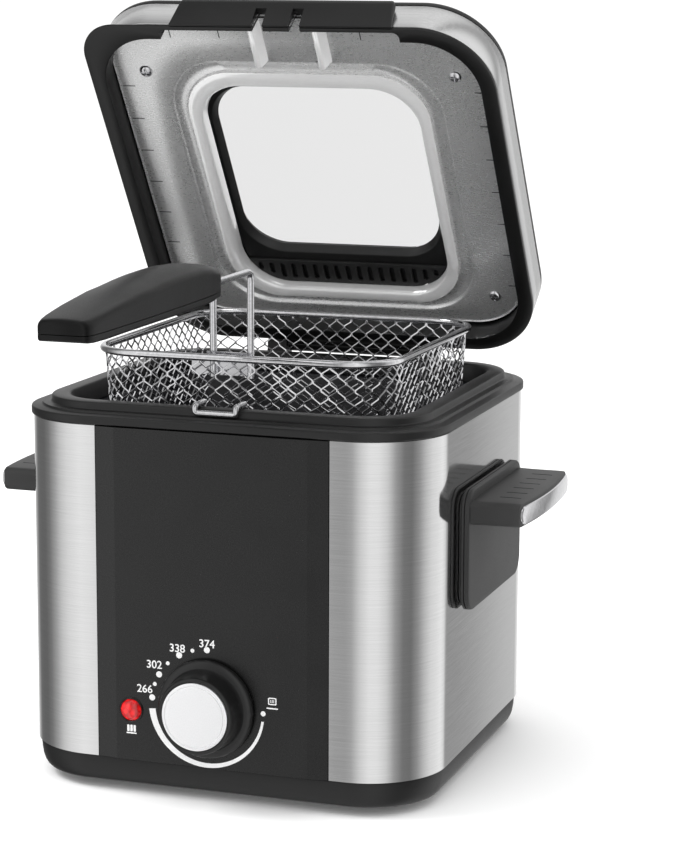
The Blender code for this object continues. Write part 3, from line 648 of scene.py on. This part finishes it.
def makeLiner():
    z, ry, rh, oy, oh = (linerSpec[k] for k in ("flat", "ringMiddle", "ringHalfY", "holeMiddle", "holeHalfY"))
    m = lidSpec["middle"]
    rows = [(90.4, 89.6, 27.6, 183.0, 0, m - 2.9), (90.0, 89.2, 27.2, 183.7, 0, m - 2.9),
            (89.0, 88.2, 26.4, z, 0, m - 2.9), (78.0, 79.5, 28.0, z, 0, 1.0),
            (67.4, rh + 1.0, 29.4, z, 0, ry), (66.7, rh + 0.3, 28.7, z + 0.3, 0, ry),
            (66.2, rh - 0.2, 28.2, z + 1.6, 0, ry), (65.8, rh - 0.6, 27.8, z + 2.0, 0, ry),
            (60.2, rh - 5.8, 25.8, z + 2.2, 0, ry),
            (59.7, rh - 6.1, 25.5, z + 1.9, 0, ry), (59.2, rh - 6.4, 25.2, z + 0.5, 0, ry),
            (58.6, oh + 5.4, 25.0, z + 0.2, 0, oy - 0.8), (54.6, oh + 1.2, 23.2, z + 0.6, 0, oy),
            (53.8, oh + 0.5, 22.6, z + 1.6, 0, oy), (53.2, oh, 22.4, z + 5.8, 0, oy)]
    addPiece("lid_lining", loftRings(rows[:11], 24), linerSteel, "lid", ["lid_liner"], lid=True,
            sharp=60, wall=0.5)
    # the window step carries the painted highlight, brighter than the lining about it
    addPiece("lid_window_step", loftRings(rows[10:], 24), stepSteelPaintedBright, "lid", lid=True, sharp=60,
            wall=0.5)
    # two pressed ribs carry the slots back to the ring
    for tag, side in (("left", -1), ("right", 1)):
        rib = loftRings([(3.0, 12.2, 1.4, z - 0.2, side * 15.4, -79.2), (2.5, 12.0, 1.2, z - 1.2, side * 15.4, -79.2),
                (1.5, 11.6, 1.2, z - 6.4, side * 15.4, -79.3), (1.0, 11.2, 0.9, z - 7.0, side * 15.4, -79.3)], 8,
                capLow=True, capHigh=True)
        # the ribs carry the same painted highlight as the window step
        addPiece("lid_rib_" + tag, rib, stepSteelPaintedBright, "lid", lid=True, sharp=60)
    # short expansion slits round the edge of the lining
    slits = []
    for y in (-52, -33, -14, 5, 24, 43, 62):
        for side in (-1, 1):
            slits.append(block(min(side * 88.8, side * 82.6), max(side * 88.8, side * 82.6), y - 0.22, y + 0.22,
                    z - 0.56, z - 0.44))
    for x in (-58, -34, 34, 58):
        slits.append(block(x - 0.22, x + 0.22, -85.4, -80.0, z - 0.56, z - 0.44))
    addPiece("lining_slits", joined(*slits), lidPlastic, "lid", lid=True)
    # black hoop round the window, running back under the vent
    hoop = [paneRow(5.3, 198.6), paneRow(5.4, 195.3), (52.8, oh - 0.4, 22.1, 195.0, 0, oy),
            (52.8, oh - 0.4, 22.1, 191.0, 0, oy), (52.4, oh - 0.8, 21.8, 190.6, 0, oy), paneRow(0.9, 190.7),
            paneRow(0.3, 191.1), paneRow(-0.9, 194.2),
            paneRow(-1.4, 194.8), paneRow(0.4, 194.9), paneRow(0.4, 198.6)]
    addPiece("window_hoop", loftRings(hoop, 24, around=True), lidPlastic, "lid", ["window_frame"],
            lid=True, sharp=40)
    pane = [paneRow(-0.3, 195.2), paneRow(0, 195.5), paneRow(0, 197.5), paneRow(-0.3, 197.8)]
    addPiece("window_pane", loftRings(pane, 24, capLow=True, capHigh=True), glassClear, "lid",
            ["window_glass"], lid=True, sharp=30)


ventSpec = {"count": 17, "pitch": 5.65, "near": 56.8}


def makeVent():
    s = ventSpec
    bm = bmesh.new()
    half = [(50.6, s["near"]), (47.6, 62.0), (43.3, 66.0), (38.0, 68.9), (32, 70.0)]
    outline = half + [(-x, y) for x, y in reversed(half)]
    face = bm.faces.new([bm.verts.new((x, y, 189.1)) for x, y in outline])
    up = bmesh.ops.extrude_face_region(bm, geom=[face])
    bmesh.ops.translate(bm, vec=(0, 0, 1.2), verts=[v for v in up["geom"] if isinstance(v, bmesh.types.BMVert)])
    slots = []
    for k in range(s["count"]):
        x = (k - (s["count"] - 1) / 2) * s["pitch"]
        far = 68.0 if abs(x) < 34 else 68.0 - (abs(x) - 34) * 0.42
        slots.append(pill(1.2, (far - 58.8) / 2, 1.1, 186, 192, x, (far + 58.8) / 2))
    addPiece("steam_vent", cutOut(bm, *slots), ventPlastic, "lid", ["vent_grille"], lid=True,
            sharp=30, edge=0.15)
    for tag, sx, y in (("front_left", -1, -60.7), ("front_right", 1, -60.7), ("rear_left", -1, 69.0),
            ("rear_right", 1, 69.0)):
        head = turnProfile([(0, 0), (0, 3.2), (-0.5, 3.1), (-1.1, 2.6), (-1.6, 1.7), (-1.8, 0)],
                (sx * 75.0, y, 183.7), (0, 0, 1), (1, 0, 0), 36)
        head = cutOut(head, block(sx * 75 - 2.0, sx * 75 + 2.0, y - 0.35, y + 0.35, 180, 182.7))
        head = cutOut(head, block(sx * 75 - 0.35, sx * 75 + 0.35, y - 2.0, y + 2.0, 180, 182.65))
        addPiece("lid_screw_head_" + tag, head, chromeWire, "lid", ["lid_screw_" + tag], lid=True,
                sharp=30)


# the lid's front, and how far the lift edge stands to the right of the middle
liftSpec = {"front": -95.0, "across": 1.6, "widen": 2.2}


def makeLidGrip():
    f = liftSpec["front"]
    # a wedge under the front edge: wider and thinner at the foot
    rows = [(50.6, 0.8, 171.1), (50.0, 2.0, 175.5), (49.4, 3.1, 181.0), (49.0, 3.7, 184.4), (48.6, 3.8, 186.3),
            (48.2, 3.4, 187.1), (47.6, 2.7, 187.4)]
    made = []
    for width, out, z in rows:
        half = (out + 0.1) / 2
        made.append((width + liftSpec["widen"], half, min(1.2, half / 1.15), z, liftSpec["across"], f - 0.25 - half))
    addPiece("lid_lift_edge", cutOut(loftRings(made, 8, capLow=True, capHigh=True), *passage()), lidPlastic, "lid",
            ["lid_grip"], lid=True, sharp=35)


basketSpec = {"halfX": 69.0, "halfY": 72.2, "radius": 22.0, "across": 3.0, "middle": 0.0, "rim": 194.0, "low": 132.0,
        "wireR": 0.4, "cell": 7.6, "row": 3.3}


def roundRing(hx, hy, r, share, cy=0.0):
    # the point that share of the way round a rounded rectangle, and the way it runs there
    straightX, straightY, arc = 2 * (hx - r), 2 * (hy - r), math.pi * r / 2
    total = 2 * (straightX + straightY) + 4 * arc
    s = (share % 1.0) * total
    parts = ((straightX, (-hx + r, -hy), (1, 0)), (straightY, (hx, -hy + r), (0, 1)),
            (straightX, (hx - r, hy), (-1, 0)), (straightY, (-hx, hy - r), (0, -1)))
    for length, start, way in parts:
        if s < length:
            return Vector((start[0] + way[0] * s, start[1] + way[1] * s + cy, 0))
        s -= length
        end = Vector((start[0] + way[0] * length, start[1] + way[1] * length, 0))
        if s < arc:
            t = s / r
            inward = Vector((-way[1], way[0], 0))
            centre = end + inward * r
            return centre + (-inward * math.cos(t) + Vector((way[0], way[1], 0)) * math.sin(t)) * r + Vector((0, cy,
                    0))
        s -= arc
    return Vector((-hx + r, -hy + cy, 0))


def makeBasket():
    s = basketSpec
    hx, hy, r, m, ax = s["halfX"], s["halfY"], s["radius"], s["middle"], s["across"]
    luck = random.Random(11)
    around = 2 * math.pi * r + 4 * (hx - r) + 4 * (hy - r)
    count = 2 * round(around / s["cell"])
    step = 1.0 / count
    # the wall runs down, turns in at the foot and stops on the floor net
    depth = s["rim"] - 1.2 - s["low"]
    rows = int(depth / s["row"])

    def wallInset(z):
        low = s["low"]
        if z > low + 8:
            return 0.9 + 3.3 * (s["rim"] - z) / (s["rim"] - low - 8)
        t = (low + 8 - z) / 8
        return 4.2 + 6.4 * (1 - math.sqrt(max(0, 1 - t * t)))

    nets = []
    for i in range(count):
        path = []
        for k in range(rows + 1):
            z = s["rim"] - 1.2 - k * s["row"]
            side = 1 if (i + k) % 2 else -1
            for half in (0.0, 0.36):
                zz = z - half * s["row"]
                if zz < s["low"]:
                    continue
                d = wallInset(zz)
                sway = side * (0.5 - 0.07) * step + luck.uniform(-0.035, 0.035) * step
                at = roundRing(hx - d, hy - d, r - d * 0.8, (i + 0.5) * step + sway, m)
                path.append((at.x + ax, at.y, zz + luck.uniform(-0.2, 0.2)))
        nets.append(path)
    # the floor net, the same cells laid flat
    d = wallInset(s["low"])
    fx, fy, fr = hx - d, hy - d, r - d * 0.8
    pitch = s["cell"] / 2
    number = int(2 * fx / pitch)
    for i in range(number + 1):
        x = -fx + (i + 0.5) * (2 * fx / (number + 1))
        over = max(0, abs(x) - (fx - fr))
        reach = fy - fr + math.sqrt(max(0, fr * fr - over * over))
        path = []
        k = 0
        y = -reach
        while y < reach:
            side = 1 if (i + k) % 2 else -1
            for half in (0.0, 0.36):
                path.append((ax + x + side * 0.43 * pitch + luck.uniform(-0.12, 0.12),
                        min(y + half * s["row"], reach) + m, s["low"] + luck.uniform(-0.1, 0.15)))
            y += s["row"]
            k += 1
        nets.append(path)
    addPiece("basket_netting", wires(nets, s["wireR"], 0), chromeWire, "basket", ["basket_tub"],
            sharp=80)
    hoop = [roundRing(hx, hy, r, k / 160, m) + Vector((ax, 0, s["rim"])) for k in range(160)]
    foot = [roundRing(hx - 4.6, hy - 4.6, r - 4.0, k / 120, m) + Vector((ax, 0, s["low"] + 7.0)) for k in range(120)]
    addPiece("basket_rim_wire", wires([hoop], 1.7, 4, True), chromeWire, "basket", ["basket_rim"],
            sharp=80)
    addPiece("basket_foot_wire", wires([foot], 0.9, 3, True), chromeWire, "basket", sharp=80)
    plate = cutOut(block(-19.8, 9.6, -64.4, -63.6, 185.2, 195.6), pill(2.6, 4.0, 1.4, 193.4, 199, -15.4, -64.0),
            block(6.0, 12.4, -70, -60, 193.4, 197))
    addPiece("basket_clip_plate", plate, brightTrim, "basket", ["basket_bracket"], edge=0.15)
    for tag, x in (("left", -8.7), ("right", 8.7)):
        path = softPath([(x, -66.5, 185.0), (x, -66.5, 231.5), (x, -108.9, 231.5)], 4.2, 8)
        addPiece("basket_handle_wire_" + tag, wires([path], 1.6, 4), chromeWire, "basket",
                ["handle_wire_" + tag], sharp=60)


# half width, seam, top, shoulder and underside along the grip
gripRows = ((-108.6, 11.0, 228.6, 238.0, 235.9, 227.2), (-109.3, 11.9, 228.5, 239.2, 236.8, 226.5),
        (-111.5, 12.6, 228.2, 240.4, 237.6, 226.0), (-120, 12.85, 228.0, 241.4, 238.8, 225.0),
        (-130, 13.0, 227.8, 241.8, 239.4, 224.6),
            (-142, 13.1, 227.7, 241.8, 239.3, 224.4), (-155, 13.2, 227.6, 241.4, 239.0, 224.4),
            (-168, 13.2, 227.5, 240.7, 238.3, 224.4), (-180, 13.2, 227.4, 239.8, 237.4, 224.4),
            (-193, 13.0, 227.3, 238.9, 236.8, 224.3), (-205, 12.8, 227.2, 237.6, 235.6, 224.2),
            (-216, 12.5, 227.1, 236.4, 234.6, 224.0), (-225, 12.2, 227.0, 235.2, 233.5, 223.8),
            (-231, 11.8, 226.95, 234.4, 232.8, 223.8), (-235, 11.4, 226.9, 233.8, 232.2, 223.8),
            (-237.6, 10.7, 226.85, 233.4, 231.9, 223.9),
            (-239.2, 9.8, 226.8, 233.0, 231.6, 224.2), (-240, 8.4, 226.8, 232.3, 231.1, 224.8))


def gripShell(upper):
    bm = bmesh.new()
    rings = []
    for y, h, seam, top, shoulder, under in gripRows:
        if upper:
            s = seam + 0.15
            spots = [(-h, s), (h, s), (h, shoulder), (0, top + 0.5), (-h, shoulder)]
        else:
            s = seam - 0.15
            spots = [(-h, s), (-h, under), (h, under), (h, s)]
        dots = [bm.verts.new((x, y, z)) for x, z in spots]
        face = bm.faces.new(dots)
        before = set(bm.faces) - {face}
        if upper:
            bmesh.ops.bevel(bm, geom=[dots[3]], offset=h * 0.75, offset_type="OFFSET", segments=8, profile=0.5,
                    affect="VERTICES", material=-1)
            dots = [v for v in dots if v.is_valid]
            corners = [v for v in bm.verts if abs(v.co.y - y) < 1e-5 and abs(abs(v.co.x) - h) < 1e-4
                       and abs(v.co.z - shoulder) < 1e-4]
            bmesh.ops.bevel(bm, geom=corners, offset=min(2.6, (shoulder - s) * 0.7), offset_type="OFFSET", segments=6,
                    profile=0.5, affect="VERTICES", material=-1)
        else:
            bmesh.ops.bevel(bm, geom=[dots[1], dots[2]], offset=min(1.1, (s - under) * 0.7), offset_type="OFFSET",
                    segments=4, profile=0.5, affect="VERTICES", material=-1)
        fresh = [f for f in bm.faces if f not in before and len(f.verts) > 5]
        face = [f for f in fresh if all(abs(v.co.y - y) < 1e-5 for v in f.verts)][0]
        edges = list(face.edges)
        bmesh.ops.delete(bm, geom=[face], context="FACES_ONLY")
        rings.append(edges)
    for a, b in zip(rings, rings[1:]):
        bmesh.ops.bridge_loops(bm, edges=a + b)
    bmesh.ops.contextual_create(bm, geom=rings[0])
    bmesh.ops.contextual_create(bm, geom=rings[-1])
    return bm


def makeGrip():
    addPiece("basket_grip_top", gripShell(True), gripPlastic, "basket", ["grip_upper"], sharp=35)
    addPiece("basket_grip_base", gripShell(False), gripPlastic, "basket", ["grip_lower"], sharp=35)


def makeHook():
    z, out, low = 175.2, -86.5, 171.9
    path = softPath([(-9.4, -76.2, z), (-9.4, out, z), (-9.4, out, low), (9.4, out, low), (9.4, out, z),
            (9.4, -76.2, z)], 1.5, 6)
    addPiece("drain_hook_wire", wires([path], 1.4, 4), chromeWire, "housing", ["drain_hook"],
            sharp=70)


def dressNodes():
    # what stays from the CAD: the works inside, and the small steel at the hinge
    finishes = {"bottom_cover": basePlastic, "heating_element": plainSteel, "heat_shield": plainSteel,
            "thermostat": ceramicWhite, "thermal_cutout": ceramicWhite, "terminal_block": ceramicWhite,
                "lamp_holder": ceramicWhite, "thermostat_shaft": plainSteel, "hinge_bracket": collarPlastic,
                "hinge_pin": plainSteel, "lid_knuckle": lidPlastic}
    for name, finish in finishes.items():
        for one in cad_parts[name].material_slots:
            one.material = finish


for stage, build in (("wrap", makeWrap), ("base", makeBase), ("facia", makePanel), ("dial print", makeDial),
        ("knob", makeKnob), ("lamp", makeLamp), ("collar", makeCollar), ("pot", makePot),
                     ("handles", makeHandles), ("lid", makeLid), ("lining", makeLiner), ("vent", makeVent),
                     ("lid grip", makeLidGrip), ("basket", makeBasket), ("grip", makeGrip), ("hook", makeHook),
                     ("CAD finishes", dressNodes)):
    build()
    print("made", stage)


cameraSpec = {"place": (0.40120, -1.09472 + shiftY * mm, 0.36295), "yaw": 0.329632922, "pitch": 0.177329636,
        "roll": 0.00364931855, "lens": 109.5}


def makeCamera():
    s = cameraSpec
    lensData = bpy.data.cameras.new("camera")
    lensData.lens, lensData.sensor_width, lensData.sensor_fit = s["lens"], 36.0, "AUTO"
    lensData.clip_start, lensData.clip_end = 0.05, 50.0
    camera = bpy.data.objects.new("camera", lensData)
    bpy.context.scene.collection.objects.link(camera)
    aim = Matrix.Rotation(s["yaw"], 4, "Z") @ Matrix.Rotation(math.radians(90) - s["pitch"], 4, "X")
    camera.matrix_world = Matrix.Translation(s["place"]) @ aim @ Matrix.Rotation(s["roll"], 4, "Z")
    bpy.context.scene.camera = camera


# brightness round the studio, by the compass: 0 is the front, 90 the right
studioRing = ((-180, 0.85), (-146, 0.78), (-134, 0.45), (-122, 0.17), (-110, 0.15), (-98, 0.15), (-86, 0.22),
        (-73, 0.42), (-61, 0.68), (-49, 0.84), (-25, 1.0), (-22, 0.62), (-19, 0.37), (-7, 0.45),
              (5.6, 0.76), (18, 0.95), (30, 0.94), (42, 0.76), (54, 0.39), (66.6, 0.21), (79, 0.19), (91, 0.34),
              (103, 0.61), (115, 0.82), (128, 0.91), (140, 1.0), (150, 0.84), (157, 0.4), (163.4, 0.30),
              (165.0, 0.52), (169, 0.75), (180, 0.9))


def makeWorld():
    world = bpy.data.worlds.new("studio")
    bpy.context.scene.world = world
    bpy.context.scene.view_settings.view_transform = "Standard"  # plain colours, so white stays white
    world.use_nodes = True
    tree = world.node_tree
    tree.nodes.clear()
    way = addNode(tree, "ShaderNodeTexCoord")
    parts = addNode(tree, "ShaderNodeSeparateXYZ", links={0: way.outputs["Generated"]})
    back = addNode(tree, "ShaderNodeMath", {"operation": "MULTIPLY", 1: -1.0}, {0: parts.outputs[1]})
    turn = addNode(tree, "ShaderNodeMath", {"operation": "ARCTAN2"}, {0: parts.outputs[0], 1: back.outputs[0]})
    share = addNode(tree, "ShaderNodeMapRange", {"From Min": -math.pi, "From Max": math.pi},
            {"Value": turn.outputs[0]})
    ramp = addNode(tree, "ShaderNodeValToRGB", links={"Fac": share.outputs[0]})
    stops = ramp.color_ramp.elements
    for k, (angle, bright) in enumerate(studioRing):
        spot = (angle + 180) / 360
        stop = stops[k] if k < 2 else stops.new(spot)
        if k < 2:
            stop.position = spot
        stop.color = (bright, bright, bright, 1)
    ring = addNode(tree, "ShaderNodeBackground", {"Strength": 1.0}, {"Color": ramp.outputs[0]})
    plain = addNode(tree, "ShaderNodeBackground", {"Color": (1, 1, 1, 1), "Strength": 1.1})
    light = addNode(tree, "ShaderNodeLightPath")
    mix = addNode(tree, "ShaderNodeMixShader", links={0: light.outputs["Is Glossy Ray"], 1: plain.outputs[0],
            2: ring.outputs[0]})
    addNode(tree, "ShaderNodeOutputWorld", links={0: mix.outputs[0]})


def makeFloor():
    bm = bmesh.new()
    bmesh.ops.create_grid(bm, x_segments=1, y_segments=1, size=6.0)
    mesh = bpy.data.meshes.new("floor")
    bm.to_mesh(mesh)
    bm.free()
    floor = bpy.data.objects.new("floor", mesh)
    floor.location.z = -0.0003
    bpy.context.scene.collection.objects.link(floor)
    finish, tree, shader = startFinish("pale studio floor", {"Base Color": (0.95, 0.95, 0.95, 1), "Roughness": 0.9,
            "Specular IOR Level": 0.1, "Emission Color": (1, 1, 1, 1), "Emission Strength": 0.06})
    clear = addNode(tree, "ShaderNodeBsdfTransparent")
    light = addNode(tree, "ShaderNodeLightPath")
    output = [n for n in tree.nodes if n.type == "OUTPUT_MATERIAL"][0]
    mix = addNode(tree, "ShaderNodeMixShader", links={0: light.outputs["Is Glossy Ray"], 1: shader.outputs[0],
            2: clear.outputs[0]})
    tree.links.new(mix.outputs[0], output.inputs[0])
    mesh.materials.append(finish)


def makeLight(name, place, aim, size, power):
    data = bpy.data.lights.new(name, "AREA")
    data.shape, data.size, data.energy = "DISK", size, power
    lamp = bpy.data.objects.new(name, data)
    bpy.context.scene.collection.objects.link(lamp)
    lamp.visible_glossy = False  # its glare is left to the studio ring
    turn = (Vector(aim) - Vector(place)).to_track_quat("-Z", "Y")
    lamp.matrix_world = Matrix.Translation(place) @ turn.to_matrix().to_4x4()


makeCamera()
makeWorld()
makeFloor()
makeLight("key", (-1.3, -0.4, 1.7), (0, 0.05, 0.15), 1.0, 22)
makeLight("top", (0.3, -0.3, 2.2), (0, 0.05, 0.2), 1.4, 10)
print("camera, floor and light ready")
